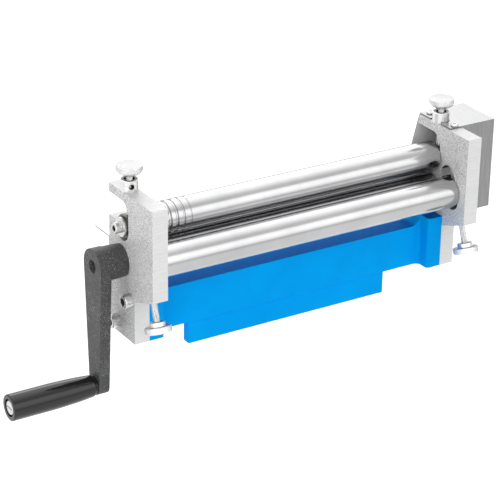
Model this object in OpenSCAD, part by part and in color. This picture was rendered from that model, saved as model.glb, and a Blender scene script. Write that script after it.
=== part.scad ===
// Hand-cranked slip roll: three steel rollers between two side plates, on a cast
// base whose tongue is held in a bench vice. Millimetres. The origin lies on the
// tongue's foot, midway between the side plates and below the plane of the pinch
// rollers. +X runs towards the gear cover, +Y to the rear, +Z up.

/* [Rollers] */
// Diameter of the three rollers
roller_d = 30; // [26:1:32]
// Width between the side plates
bed_w = 320; // [250:5:500]
// Gap between the two pinch rollers
nip_gap = 1.5; // [1.3:0.1:2.5]
// Least gap of the bending roller to the drive roller as it slides past
bend_gap = 0.54; // [0.4:0.02:1.5]
// Height of the bending roller's axis over the drive axis
bend_rise = 5.5; // [3:0.5:7]
// Gap between a roller's end and the plate
roller_end_gap = 0.5; // [0.3:0.1:1.5]
// Chamfer round the ends of each roller
roller_edge = 0.8; // [0.2:0.1:1.5]
// Diameter of the upper roller's journals
upper_journal_d = 14; // [13:0.5:16]
// Diameter of the drive roller's journals
drive_journal_d = 16; // [14:0.5:17]
// Diameter of the bending roller's journals
bend_journal_d = 12; // [8:0.5:14]
// Diameter of the seats for the gears and the crank
seat_d = 12; // [11.5:0.5:12.5]
// Place of the first wire groove from the upper roller's left end
groove_start = 25; // [10:1:60]
// Spacing of the wire grooves
groove_pitch = 7.1; // [5:0.1:12]
// Radius of the largest wire groove
groove_r = 1.8; // [0.8:0.1:2.2]

/* [Side plates] */
// Thickness of a side plate
plate_t = 15; // [14.5:0.5:20]
// Reach of a plate in front of the pinch plane
plate_front = 54; // [50:1:70]
// Reach of a plate behind the pinch plane
plate_rear = 24; // [20:1:36]
// Depth of the leg from front to rear
leg_d = 45; // [40:1:50]
// Height of the drive axis over the leg's foot
drive_rise = 75; // [72:1:95]
// Height of the plate's front face
nose_h = 86; // [82:1:92]
// Height from the upper roller's axis to the underside of the arm
notch_rise = 25; // [22:0.5:35]
// Thickness of the arm that carries the top screw
arm_t = 8.5; // [6:0.5:14]
// Height of the notch's ledge over the upper roller's axis
ledge_rise = 2.8; // [1:0.2:4]
// Radius in the notch's front corner
notch_fillet = 12.5; // [8:0.5:13]
// Spare depth of the upper slot below the bush
slot_spare = 2; // [1.5:0.1:4]

/* [Bearings] */
// Diameter of the upper bushes
upper_bush_d = 22; // [20:0.5:23]
// Depth of the upper bushes' outer faces below the plate's side
upper_bush_in = 1.5; // [0:0.5:3]
// Diameter of the bending roller's bushes
bend_bush_d = 20; // [18:0.5:22]
// Diameter of the drive roller's bushes
drive_bush_d = 20; // [19:0.5:22]
// Wall left outside the pockets for the bending roller's bushes
pocket_wall = 4; // [2:0.5:4.5]
// Tilt of the bending roller's slide from the upright
slide_tilt = 20; // [16:1:24]
// Free travel of a bending bush upwards
slide_up = 15.3; // [11.5:0.1:17]
// Free travel of a bending bush downwards
slide_down = 7.6; // [6.5:0.1:9]
// Depth of the flat on a bush where its screw bears
bush_flat = 1; // [0.6:0.1:1.6]

/* [Base casting] */
// Width of the tongue that the vice holds
tongue_w = 216; // [100:2:270]
// Distance of the tongue's middle to the left of the machine's middle
tongue_off = 2.5; // [0:0.5:5]
// Thickness of the tongue
tongue_t = 8; // [6:0.5:10]
// Height of the tongue below the beam
tongue_h = 23; // [15:1:60]
// Radius of the tongue's lower corners
tongue_corner = 1; // [0.5:0.5:6]
// Front face of the beam, ahead of the pinch plane
beam_front = 7; // [5:0.5:8]
// Thickness of the beam
beam_t = 24; // [20:0.5:28]
// Height of the beam
beam_h = 40.5; // [36:0.5:46]
// Radius of the beam's lower front edge
beam_edge = 1; // [0.5:0.5:4]
// Thickness of the end flanges
flange_t = 15.5; // [12:0.5:22]
// Height of the end flanges
flange_h = 51.5; // [49:0.5:54]
// Radius of the flanges' upright inner edge at the front
flange_edge = 3; // [1:0.5:6]
// Radius of the fillets between beam and flanges
casting_fillet = 4; // [2:0.5:8]

/* [Plate bolts] */
// Diameter of the bolts that hold the plates
bolt_d = 8; // [6:0.5:8]
// Diameter of the bolt heads
bolt_head_d = 13; // [11:0.5:14]
// Height of the bolt heads
bolt_head_h = 8; // [6:0.5:9]
// Distance of the upper bolt behind the leg's front face
bolt_1_back = 7; // [6.5:0.5:9]
// Height of the upper bolt over the foot
bolt_1_rise = 41; // [38:0.5:43]
// Distance of the lower bolt behind the leg's front face
bolt_2_back = 31; // [26:0.5:34]
// Height of the lower bolt over the foot
bolt_2_rise = 11.5; // [9:0.5:16]
// Metal left in the flange behind a bolt's hole
bolt_wall = 3; // [2:0.5:5]

/* [Adjusting screws] */
// Diameter of the adjusting screws
screw_d = 6; // [5:0.5:7]
// Height of the top knob's face over the plate
top_knob_z = 23.5; // [21:0.5:32]
// Diameter of the top knobs
top_knob_d = 24; // [18:0.5:26]
// Height of the top knob's knurled rim
top_knob_rim = 5; // [3:0.5:6]
// Height of the cone below the rim
top_knob_cone = 4; // [2:0.5:5]
// Diameter of the cone's lower end
top_knob_neck_d = 14; // [12:0.5:17]
// Diameter of the lock collars
collar_d = 16; // [14:0.5:17.5]
// Height of the lock collars
collar_h = 10.5; // [9:0.5:12]
// Diameter of the recess in a collar's top
collar_recess_d = 10; // [8.5:0.5:11]
// Diameter of a collar's bar hole
collar_hole_d = 5; // [3:0.5:5.5]
// Distance from the bending roller's axis to the lower knob's foot
low_knob_reach = 60.75; // [57:0.25:70]
// Diameter of the lower knobs
low_knob_d = 24.4; // [18:0.2:26]
// Height of the lower knob's rim
low_knob_rim = 6; // [4:0.25:8]
// Diameter of the lower knob's hub
low_knob_hub_d = 14.5; // [11:0.5:15]
// Height of the lower knob's hub
low_knob_hub = 4; // [3:0.5:7]

/* [Crank] */
// Distance from the drive axis to the grip's axis
crank_r = 117; // [80:1:160]
// Outer face of the crank, from the plate
crank_reach = 30; // [27:0.5:45]
// Diameter of the crank's boss at the plate
boss_d = 30; // [26:0.5:32]
// Diameter of the crank's boss at its outer face
boss_outer_d = 32.4; // [28:0.2:34]
// Thickness of the crank's arm
crank_t = 10.5; // [8:0.5:14]
// Diameter of the crank's lower end
crank_end_d = 18.6; // [16:0.2:24]
// Depth of the shaft's end inside the boss
shaft_recess = 4; // [1:0.5:5]
// Thickness of the washer between plate and crank
crank_washer_t = 1; // [0.6:0.1:2]
// Length of the grip
grip_l = 82; // [60:1:110]
// Diameter of the grip at its outer end
grip_d = 24.4; // [20:0.2:30]
// Diameter of the grip at the arm
grip_neck_d = 20; // [16:0.5:22]
// Length over which the grip narrows to its neck
grip_taper_l = 34; // [20:1:50]
// Diameter of the recess in the grip's end
grip_recess_d = 16; // [15:0.5:17.5]
// Depth of the recess in the grip's end
grip_recess = 3; // [2:0.25:5]
// Diameter of the bolt on which the grip turns
grip_bolt_d = 8; // [6:0.5:9]
// Diameter of the grip bolt's head
grip_head_d = 13; // [11:0.5:14]
// Thickness of the grip bolt's head
grip_head_t = 2; // [1.5:0.1:3]
// Thickness of the washer behind the grip
grip_washer_t = 2; // [1:0.25:3]

/* [Gears] */
// Teeth of each gear, whose pitch diameter is the rollers' diameter
gear_teeth = 15; // [13:1:20]
// Width of the gears
gear_w = 12; // [8:0.5:14]
// Gap between the plate and the gears
gear_gap = 3; // [2:0.25:6]

/* [Gear cover] */
// Thickness of the cover's sheet
cover_t = 1.5; // [1:0.1:2]
// Outer side of the cover, from the plate
cover_reach = 39; // [36:1:50]
// Front face of the cover, ahead of the pinch plane
cover_front = 23; // [22:0.5:30]
// Overlap of the cover's flange on the plate
cover_lap = 13; // [11:0.5:14]
// Depth of the cover below the plate's top
cover_drop = 88; // [86:1:100]
// Distance of the cover's screws from the top screw
cover_screw_off = 19; // [15:0.5:20]

/* [Feed tray] */
// Thickness of the tray's sheet
tray_t = 1; // [0.8:0.1:1.5]
// Depth of the tray behind the plates
tray_d = 27; // [15:1:60]
// Drop of the tray's face below the nip
tray_drop = 2.5; // [1:0.25:6]
// Height of the tray's flange on the plates
tray_flange_h = 14; // [11:0.5:18]

/* [Hidden] */
$fn = 64;

// Clearances and the overrun of every cut
run_fit = 0.05;
slide_fit = 0.1;
press_fit = 0.02;
face_gap = 0.3;
over = 1;

// Places of the plates
half_w = bed_w / 2;
outer_x = half_w + plate_t;
screw_x = half_w + plate_t / 2;
foot_z = tongue_h;
drive_z = foot_z + drive_rise;
upper_z = drive_z + roller_d + nip_gap;
notch_z = upper_z + notch_rise;
top_z = notch_z + arm_t;
nose_z = top_z - nose_h;
leg_front = plate_rear - leg_d;
leg_front_z = nose_z - (leg_front + plate_front) * tan(slide_tilt);
ledge_z = upper_z + ledge_rise;
pocket_depth = plate_t - pocket_wall;

// Rest place of the bending roller: the slide line passes the drive roller at bend_gap
bend_z = drive_z + bend_rise;
bend_y = -(roller_d + bend_gap - bend_rise * sin(slide_tilt)) / cos(slide_tilt);
// Distance from the bending axis to the plate's sloping underside, along the slide
under_reach = (bend_z - nose_z) * cos(slide_tilt) + (bend_y + plate_front) * sin(slide_tilt);

// Beam and casting
beam_y = -beam_front;
beam_z = foot_z + beam_h;
flange_z = foot_z + flange_h;
bolt_hole_l = flange_t - bolt_wall;
bolt_l = plate_t + bolt_hole_l - face_gap;
bolt_points = [
    [leg_front + bolt_1_back, foot_z + bolt_1_rise],
    [leg_front + bolt_2_back, foot_z + bolt_2_rise]
];
hex_share = 0.46;
hex_depth_share = 0.5;
pan_edge_share = 0.33;

// Shafts and their ends
roller_l = bed_w - 2 * roller_end_gap;
roller_end = roller_l / 2;
shaft_end_gap = 0.3;
gear_x = outer_x + gear_gap;
gear_module = roller_d / gear_teeth;
gear_seat_end = gear_x + gear_w - shaft_end_gap;
bend_bush_l = pocket_depth - face_gap;
end_screw_d = 6;
end_screw_l = 14;
end_head_d = 10;
end_head_h = 6;
end_washer_d = 18;
end_washer_t = 2;
end_hole_l = end_screw_l - end_washer_t + over;
key_w = 4;
key_h = 4;
key_in_shaft = 2.5;
key_l = gear_w - 2 * shaft_end_gap;
groove_shares = [1, 0.83, 0.6, 0.4];

// Form of the gears' teeth
pressure_angle = 20;
flank_share = 0.94;
flank_steps = 6;
tooth_foot_share = 1.2;

// Crank
crank_x = -outer_x - crank_reach;
crank_washer_step = 0.5;
crank_washer_d = boss_d + 2 * crank_washer_step;
crank_washer_x = -outer_x - face_gap;
boss_x = crank_washer_x - crank_washer_t;
grip_z = drive_z - crank_r;
shaft_flat = 1;
set_screw_d = 6;
set_screw_x = (boss_x + crank_x) / 2;
set_screw_l = boss_d / 2 - seat_d / 2 + shaft_flat - shaft_end_gap;
grip_gap = 0.4;
grip_x = crank_x - grip_washer_t - grip_gap;
grip_washer_d = 17;
grip_edge = 2.5;
grip_bend_share = 0.47;
grip_bend_r_share = 0.64;
grip_head_gap = 0.4;

// Knobs and collars
top_knob_foot = top_z + top_knob_z - top_knob_rim - top_knob_cone;
top_knob_edge_share = 0.12;
low_knob_edge_share = 0.11;
collar_recess_share = 0.17;
collar_edge_share = 0.07;
left_collar_turn = -104;

// Cover and tray
cover_x = outer_x + cover_reach;
cover_rear = plate_rear + face_gap + cover_t;
cover_low_z = top_z - cover_drop;
cover_screw_d = 4;
cover_screw_head_d = 7.5;
cover_screw_head_h = 2.2;
cover_screw_l = arm_t;
cover_hole_l = cover_screw_l - cover_t + face_gap;
cover_side_gap = 0.5;
cover_slot_r = collar_d / 2 + cover_side_gap;
cover_tab = 1.5;
cover_tab_slope = 0.26;
nip_z = drive_z + roller_d / 2 + nip_gap / 2;
tray_z = nip_z - tray_drop;
tray_bend = 2;
tray_lip_gap = 4;
tray_screw_d = 5;
tray_screw_head_d = 9;
tray_screw_head_h = 3;
tray_screw_l = 10;

// Colours
plate_c = [0.72, 0.73, 0.74];
steel_c = [0.8, 0.8, 0.81];
blue_c = [0, 0.55, 0.9];
bronze_c = [0.66, 0.6, 0.48];
zinc_c = [0.86, 0.86, 0.85];
dark_c = [0.28, 0.28, 0.28];
black_c = [0.07, 0.07, 0.07];
cover_c = [0.6, 0.6, 0.6];

// A prism along X from an outline in Y and Z
module along_x(x0, x1) {
    translate([x0, 0, 0]) rotate([90, 0, 90]) linear_extrude(x1 - x0) children();
}

// A round bar along X
module bar_x(x0, x1, r, y, z) {
    translate([x0, y, z]) rotate([0, 90, 0]) cylinder(r = r, h = x1 - x0);
}

// The ground body of a roller, chamfered at both ends
module roller_body(y, z) {
    x = roller_end - roller_edge;
    bar_x(-x, x, roller_d / 2, y, z);
    for (side = [-1, 1]) on_side(side) translate([x, y, z]) rotate([0, 90, 0])
        cylinder(r1 = roller_d / 2, r2 = roller_d / 2 - roller_edge, h = roller_edge);
}

// The frame of the bending slide: its children's +Z runs up the slide
module on_slide(x) {
    translate([x, bend_y, bend_z]) rotate([-slide_tilt, 0, 0]) children();
}

// Mirrors its children to the left side, or leaves them on the right
module on_side(side) {
    if (side < 0) mirror([1, 0, 0]) children();
    else children();
}

// A socket-head screw along +Z, its head's seat at 0 and its socket above
module socket_screw(d, l, head_d, head_h) {
    difference() {
        union() {
            translate([0, 0, -l]) cylinder(d = d, h = l);
            cylinder(d = head_d, h = head_h);
        }
        translate([0, 0, head_h * hex_depth_share])
            cylinder(d = head_d * hex_share / cos(30), h = head_h * hex_depth_share + over, $fn = 6);
    }
}

// A pan-head screw along +Z, its head's seat at 0
module pan_screw(d, l, head_d, head_h) {
    edge = head_h * pan_edge_share;
    translate([0, 0, -l]) cylinder(d = d, h = l);
    cylinder(d = head_d, h = head_h - edge);
    translate([0, 0, head_h - edge]) cylinder(d1 = head_d, d2 = head_d - 2 * edge, h = edge);
}

// Outline of a side plate, Y against Z: the nose, the leg and the arm over the notch
module plate_outline() {
    difference() {
        polygon([
            [-plate_front, top_z], [-plate_front, nose_z], [leg_front, leg_front_z],
            [leg_front, foot_z], [plate_rear, foot_z], [plate_rear, top_z]
        ]);
        notch_outline();
    }
}

// The notch open to the rear, running down into the slot of the upper bush
module notch_outline() {
    slot_r = upper_bush_d / 2 + slide_fit;
    fillet_y = notch_fillet - slot_r;
    fillet_z = notch_z - notch_fillet;
    slot_z = upper_z - slot_spare;
    translate([0, slot_z]) circle(r = slot_r);
    translate([-slot_r, slot_z]) square([2 * slot_r, fillet_z - slot_z]);
    translate([fillet_y, fillet_z]) circle(r = notch_fillet);
    translate([fillet_y, ledge_z]) square([plate_rear + over - fillet_y, notch_z - ledge_z]);
}

// The right side plate: through slot, drive bore, blind slide pocket, screw and bolt holes
module right_plate() {
    pocket_r = bend_bush_d / 2 + slide_fit;
    color(plate_c) difference() {
        along_x(half_w, outer_x) plate_outline();
        bar_x(half_w - over, outer_x + over, drive_bush_d / 2 + press_fit, 0, drive_z);
        on_slide(half_w - over) {
            for (s = [-slide_down, slide_up])
                translate([0, 0, s]) rotate([0, 90, 0]) cylinder(r = pocket_r, h = pocket_depth + over);
            translate([0, -pocket_r, -slide_down])
                cube([pocket_depth + over, 2 * pocket_r, slide_down + slide_up]);
        }
        on_slide(screw_x) translate([0, 0, -under_reach - over])
            cylinder(d = screw_d + 2 * run_fit, h = under_reach + over);
        translate([screw_x, 0, notch_z - over])
            cylinder(d = screw_d + 2 * run_fit, h = arm_t + 2 * over);
        for (p = bolt_points)
            bar_x(half_w - over, outer_x + over, bolt_d / 2 + slide_fit, p[0], p[1]);
        tray_screw_at() translate([0, 0, -tray_screw_l])
            cylinder(d = tray_screw_d + 2 * run_fit, h = tray_screw_l + over);
    }
}

module left_side_plate() {
    mirror([1, 0, 0]) right_plate();
}

// The right plate also takes the cover's screws
module right_side_plate() {
    color(plate_c) difference() {
        right_plate();
        cover_screw_at() translate([0, 0, -cover_hole_l])
            cylinder(d = cover_screw_d + 2 * run_fit, h = cover_hole_l + over);
    }
}

// Elevation of the beam between the flanges, X against Z, its top curving up to the flanges
module beam_elevation() {
    rise = flange_z - beam_z;
    inner_x = half_w - flange_t;
    difference() {
        translate([-half_w, foot_z]) square([bed_w, flange_h]);
        translate([-inner_x + rise, beam_z]) square([2 * (inner_x - rise), rise + over]);
        for (side = [-1, 1]) translate([side * (inner_x - rise), flange_z])
            circle(r = rise);
        translate([-inner_x, flange_z]) square([2 * inner_x, over]);
    }
}

// Section of the beam, Y against Z, with its rounded lower front edge
module beam_section() {
    translate([beam_y, foot_z + beam_edge]) square([beam_t, flange_h - beam_edge]);
    translate([beam_y + beam_edge, foot_z]) square([beam_t - beam_edge, flange_h]);
    translate([beam_y + beam_edge, foot_z + beam_edge]) circle(r = beam_edge);
}

// Plan of the right flange, X against Y, its upright inner edge rounded at the front
module flange_plan() {
    x = half_w - flange_t;
    translate([x, leg_front + flange_edge]) square([flange_t, leg_d - flange_edge]);
    translate([x + flange_edge, leg_front]) square([flange_t - flange_edge, leg_d]);
    translate([x + flange_edge, leg_front + flange_edge]) circle(r = flange_edge);
}

// Plan of the upright fillet between the beam's front face and the right flange
module corner_fillet() {
    x = half_w - flange_t;
    difference() {
        translate([x - casting_fillet, beam_y - casting_fillet])
            square([casting_fillet + over, casting_fillet + over]);
        translate([x - casting_fillet, beam_y - casting_fillet]) circle(r = casting_fillet);
    }
}

// The one-piece casting: beam, two end flanges and the tongue
module base_casting() {
    color(blue_c) difference() {
        union() {
            intersection() {
                union() {
                    along_x(-half_w, half_w) beam_section();
                    for (side = [-1, 1]) on_side(side) translate([0, 0, foot_z])
                        linear_extrude(flange_h) corner_fillet();
                }
                translate([0, plate_rear, 0]) rotate([90, 0, 0])
                    linear_extrude(leg_d) beam_elevation();
            }
            for (side = [-1, 1]) on_side(side) translate([0, 0, foot_z])
                linear_extrude(flange_h) flange_plan();
            translate([-tongue_off, 0, 0]) tongue();
        }
        for (side = [-1, 1]) on_side(side) for (p = bolt_points)
            bar_x(half_w - bolt_hole_l, half_w + over, bolt_d / 2 + run_fit, p[0], p[1]);
    }
}

// The tongue, its lower corners rounded
module tongue() {
    w = tongue_w / 2;
    translate([-w, -tongue_t / 2, tongue_corner])
        cube([tongue_w, tongue_t, tongue_h + beam_edge - tongue_corner]);
    translate([tongue_corner - w, -tongue_t / 2, 0])
        cube([tongue_w - 2 * tongue_corner, tongue_t, tongue_h]);
    for (side = [-1, 1]) translate([side * (w - tongue_corner), tongue_t / 2, tongue_corner])
        rotate([90, 0, 0]) cylinder(r = tongue_corner, h = tongue_t);
}

// The two bolts that hold a plate to the casting
module plate_bolts(side) {
    color(zinc_c) on_side(side) for (p = bolt_points)
        translate([outer_x, p[0], p[1]]) rotate([0, 90, 0])
            socket_screw(bolt_d, bolt_l, bolt_head_d, bolt_head_h);
}

module left_plate_bolts() plate_bolts(-1);
module right_plate_bolts() plate_bolts(1);

// A plain bush along X round an axis
module bush(x0, x1, outer_d, inner_d, y, z) {
    difference() {
        bar_x(x0, x1, outer_d / 2, y, z);
        bar_x(x0 - over, x1 + over, inner_d / 2, y, z);
    }
}

module drive_bush(side) {
    color(bronze_c) on_side(side)
        bush(half_w, outer_x, drive_bush_d, drive_journal_d + 2 * run_fit, 0, drive_z);
}

module left_drive_bush() drive_bush(-1);
module right_drive_bush() drive_bush(1);

// An upper bush, with the flat on which the top screw bears
module upper_bush(side) {
    flat_z = upper_z + upper_bush_d / 2 - bush_flat;
    color(bronze_c) on_side(side) difference() {
        bush(half_w, outer_x - upper_bush_in, upper_bush_d, upper_journal_d + 2 * run_fit, 0, upper_z);
        translate([half_w - over, -upper_bush_d / 2, flat_z])
            cube([plate_t + 2 * over, upper_bush_d, bush_flat + over]);
    }
}

module left_upper_bush() upper_bush(-1);
module right_upper_bush() upper_bush(1);

// A bending bush in its pocket, with the flat on which the low screw bears
module bending_bush(side) {
    color(bronze_c) on_side(side) difference() {
        bush(half_w, half_w + bend_bush_l, bend_bush_d, bend_journal_d + 2 * run_fit, bend_y, bend_z);
        on_slide(half_w - over) translate([0, -bend_bush_d / 2, -bend_bush_d / 2 - over])
            cube([bend_bush_l + 2 * over, bend_bush_d, bush_flat + over]);
    }
}

module left_bending_bush() bending_bush(-1);
module right_bending_bush() bending_bush(1);

// The keyway of a gear seat, on the rear side of the shaft
module seat_keyway(z) {
    translate([gear_x + shaft_end_gap, seat_d / 2 - key_in_shaft, z - key_w / 2])
        cube([gear_w, key_in_shaft + over, key_w]);
}

// A tapped hole in the end of a shaft, from x0 to x1
module end_hole(x0, x1, z) {
    bar_x(x0, x1, end_screw_d / 2 + run_fit, 0, z);
}

// The upper roller, with its wire grooves and its gear seat
module upper_roller() {
    left_end = -outer_x - face_gap;
    color(steel_c) difference() {
        union() {
            roller_body(0, upper_z);
            bar_x(left_end, gear_x, upper_journal_d / 2, 0, upper_z);
            bar_x(0, gear_seat_end, seat_d / 2, 0, upper_z);
        }
        for (i = [0 : len(groove_shares) - 1])
            translate([groove_start + i * groove_pitch - roller_end, 0, upper_z])
                rotate([0, 90, 0]) rotate_extrude()
                    translate([roller_d / 2, 0]) circle(r = groove_r * groove_shares[i]);
        seat_keyway(upper_z);
        end_hole(left_end - over, left_end + end_hole_l, upper_z);
        end_hole(gear_seat_end - end_hole_l, gear_seat_end + over, upper_z);
    }
}

// A washer along X on a shaft axis
module washer(x0, x1, outer_d, inner_d, z) {
    color(zinc_c) bush(x0, x1, outer_d, inner_d + 2 * run_fit, 0, z);
}

module upper_end_washer() {
    x = -outer_x - face_gap;
    washer(x - end_washer_t, x, end_washer_d, end_screw_d, upper_z);
}

// A socket screw in a shaft's end, its head's seat at x
module end_screw(side, x, z) {
    color(zinc_c) on_side(side) translate([x, 0, z]) rotate([0, 90, 0])
        socket_screw(end_screw_d, end_screw_l, end_head_d, end_head_h);
}

module upper_end_screw() end_screw(-1, outer_x + face_gap + end_washer_t, upper_z);

// One flank point of an involute at radius r, as the angle from the tooth's middle
function involute_angle(r, base_r) = r <= base_r ? 0 : (tan(acos(base_r / r)) * 180 / PI - acos(base_r / r));
function half_tooth(r, base_r, pitch_r) =
    90 / gear_teeth * flank_share + involute_angle(pitch_r, base_r) - involute_angle(r, base_r);

// Outline of a gear with involute flanks, its first tooth at the angle first
module gear_outline(first) {
    pitch_r = gear_module * gear_teeth / 2;
    base_r = pitch_r * cos(pressure_angle);
    tip_r = pitch_r + gear_module;
    root_r = pitch_r - gear_module * tooth_foot_share;
    rs = [for (i = [0 : flank_steps]) base_r + (tip_r - base_r) * i / flank_steps];
    root_a = half_tooth(base_r, base_r, pitch_r);
    polygon([
        for (t = [0 : gear_teeth - 1]) let (mid = first + t * 360 / gear_teeth) each concat(
            [[root_r * cos(mid - root_a), root_r * sin(mid - root_a)]],
            [for (r = rs) let (a = mid - half_tooth(r, base_r, pitch_r)) [r * cos(a), r * sin(a)]],
            [for (i = [0 : flank_steps]) let (
                r = rs[flank_steps - i],
                a = mid + half_tooth(r, base_r, pitch_r)) [r * cos(a), r * sin(a)]],
            [[root_r * cos(mid + root_a), root_r * sin(mid + root_a)]]
        )
    ]);
}

// A spur gear on its seat, keyed at the rear side of its bore
module spur_gear(z, first) {
    color(dark_c) difference() {
        along_x(gear_x, gear_x + gear_w) translate([0, z]) gear_outline(first);
        bar_x(gear_x - over, gear_x + gear_w + over, seat_d / 2 + press_fit, 0, z);
        translate([gear_x - over, 0, z - key_w / 2])
            cube([gear_w + 2 * over, seat_d / 2 + key_h - key_in_shaft + press_fit, key_w]);
    }
}

// A key in its seat, flush with the gear's keyway
module gear_key(z) {
    color(steel_c) translate([gear_x + shaft_end_gap, seat_d / 2 - key_in_shaft, z - key_w / 2 + press_fit])
        cube([key_l, key_h, key_w - 2 * press_fit]);
}

// The upper gear has a gap where the drive gear has a tooth
module upper_gear() spur_gear(upper_z, 180 / gear_teeth - 90);
module upper_gear_key() gear_key(upper_z);

// The washer that clamps a gear
module gear_washer(z) {
    x = gear_x + gear_w;
    washer(x, x + end_washer_t, end_washer_d, end_screw_d, z);
}

module upper_gear_washer() gear_washer(upper_z);
module upper_gear_screw() end_screw(1, gear_x + gear_w + end_washer_t, upper_z);

// The drive roller, with the gear seat on its right and the crank seat on its left
module drive_roller() {
    shaft_end = crank_x + shaft_recess;
    color(steel_c) difference() {
        union() {
            roller_body(0, drive_z);
            bar_x(crank_washer_x, gear_x, drive_journal_d / 2, 0, drive_z);
            bar_x(shaft_end, gear_seat_end, seat_d / 2, 0, drive_z);
        }
        seat_keyway(drive_z);
        translate([shaft_end - over, seat_d / 2 - shaft_flat, drive_z - seat_d / 2])
            cube([boss_x - shaft_end + over, shaft_flat + over, seat_d]);
        end_hole(gear_seat_end - end_hole_l, gear_seat_end + over, drive_z);
    }
}

module drive_gear() spur_gear(drive_z, 90);
module drive_gear_key() gear_key(drive_z);
module drive_gear_washer() gear_washer(drive_z);
module drive_gear_screw() end_screw(1, gear_x + gear_w + end_washer_t, drive_z);

module crank_washer() washer(boss_x, crank_washer_x, crank_washer_d, seat_d, drive_z);

// Outline of the crank's arm, Y against Z: two rounds joined by their tangents
module crank_outline() {
    top_r = boss_outer_d / 2;
    end_r = crank_end_d / 2;
    a = asin((top_r - end_r) / crank_r);
    translate([0, drive_z]) circle(r = top_r);
    translate([0, grip_z]) circle(r = end_r);
    polygon([
        [top_r * cos(a), drive_z - top_r * sin(a)], [end_r * cos(a), grip_z - end_r * sin(a)],
        [-end_r * cos(a), grip_z - end_r * sin(a)], [-top_r * cos(a), drive_z - top_r * sin(a)]
    ]);
}

// The cast crank: tapering arm and drafted boss, bored for the shaft and the grip's bolt
module crank_arm() {
    color(dark_c) difference() {
        union() {
            along_x(crank_x, crank_x + crank_t) crank_outline();
            translate([boss_x, 0, drive_z]) rotate([0, -90, 0])
                cylinder(d1 = boss_d, d2 = boss_outer_d, h = boss_x - crank_x);
        }
        bar_x(crank_x - over, boss_x + over, seat_d / 2 + press_fit, 0, drive_z);
        bar_x(crank_x - over, crank_x + crank_t + over, grip_bolt_d / 2 + press_fit, 0, grip_z);
        translate([set_screw_x, 0, drive_z]) rotate([-90, 0, 0])
            cylinder(d = set_screw_d + 2 * run_fit, h = boss_outer_d);
    }
}

// The headless screw that locks the crank on the shaft's flat
module crank_set_screw() {
    hex = set_screw_d * hex_share;
    color(black_c) translate([set_screw_x, seat_d / 2 - shaft_flat, drive_z]) rotate([-90, 0, 0])
        difference() {
            cylinder(d = set_screw_d, h = set_screw_l);
            translate([0, 0, set_screw_l * hex_depth_share])
                cylinder(d = hex / cos(30), h = set_screw_l, $fn = 6);
        }
}

// The bolt on which the grip turns, its head in the grip's recess
module grip_bolt() {
    head_x = grip_x - grip_l + grip_recess - grip_head_gap;
    color(zinc_c) {
        bar_x(head_x, crank_x + crank_t, grip_bolt_d / 2, 0, grip_z);
        bar_x(head_x - grip_head_t, head_x, grip_head_d / 2, 0, grip_z);
    }
}

module grip_washer() washer(crank_x - grip_washer_t, crank_x, grip_washer_d, grip_bolt_d, grip_z);

// The grip: a round bar that narrows to the arm, recessed for the bolt's head
module crank_grip() {
    neck_r = grip_neck_d / 2;
    r = grip_d / 2;
    bend_r = neck_r + (r - neck_r) * grip_bend_r_share;
    color(black_c) difference() {
        translate([grip_x, 0, grip_z]) rotate([0, -90, 0]) rotate_extrude() {
            polygon([
                [0, 0], [neck_r - grip_edge / 2, 0], [neck_r, grip_edge / 2],
                [bend_r, grip_taper_l * grip_bend_share], [r, grip_taper_l],
                [r, grip_l - grip_edge], [r - grip_edge, grip_l], [0, grip_l]
            ]);
            translate([r - grip_edge, grip_l - grip_edge]) circle(r = grip_edge);
        }
        bar_x(grip_x - grip_l - over, grip_x + over, grip_bolt_d / 2 + run_fit, 0, grip_z);
        bar_x(grip_x - grip_l - over, grip_x - grip_l + grip_recess, grip_recess_d / 2, 0, grip_z);
    }
}

// The bending roller, its journals in the pocketed bushes
module bending_roller() {
    color(steel_c) {
        roller_body(bend_y, bend_z);
        bar_x(-half_w - bend_bush_l, half_w + bend_bush_l, bend_journal_d / 2, bend_y, bend_z);
    }
}

// A top screw, from the flat of its bush up into the knob
module top_screw(side) {
    flat_z = upper_z + upper_bush_d / 2 - bush_flat;
    color(zinc_c) on_side(side) translate([screw_x, 0, flat_z])
        cylinder(d = screw_d, h = top_knob_foot + top_knob_cone - flat_z);
}

module left_top_screw() top_screw(-1);
module right_top_screw() top_screw(1);

// A top knob: a knurled rim over a cone, with the screw's end inside
module top_knob(side) {
    r = top_knob_d / 2;
    edge = top_knob_rim * top_knob_edge_share;
    neck_z = top_knob_cone;
    color(zinc_c) on_side(side) translate([screw_x, 0, top_knob_foot]) difference() {
        rotate_extrude() polygon([
            [0, 0], [top_knob_neck_d / 2, 0], [r - edge, neck_z], [r, neck_z + edge],
            [r, neck_z + top_knob_rim - edge], [r - edge, neck_z + top_knob_rim], [0, neck_z + top_knob_rim]
        ]);
        translate([0, 0, -over]) cylinder(d = screw_d + 2 * press_fit, h = neck_z + over);
    }
}

module left_top_knob() top_knob(-1);
module right_top_knob() top_knob(1);

// A lock collar on the arm, with its bar hole turned by an angle
module lock_collar(side, turn) {
    recess_h = collar_h * collar_recess_share;
    edge = collar_h * collar_edge_share;
    color(zinc_c) translate([side * screw_x, 0, top_z]) rotate([0, 0, turn]) difference() {
        rotate_extrude() polygon([
            [0, 0], [collar_d / 2, 0], [collar_d / 2, collar_h - edge],
            [collar_d / 2 - edge, collar_h], [0, collar_h]
        ]);
        translate([0, 0, -over]) cylinder(d = screw_d + 2 * run_fit, h = collar_h + 2 * over);
        translate([0, 0, collar_h - recess_h]) cylinder(d = collar_recess_d, h = recess_h + over);
        translate([0, 0, collar_h / 2]) rotate([0, 90, 0]) cylinder(d = collar_hole_d, h = collar_d);
    }
}

module left_lock_collar() lock_collar(-1, left_collar_turn);
module right_lock_collar() lock_collar(1, 0);

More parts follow.
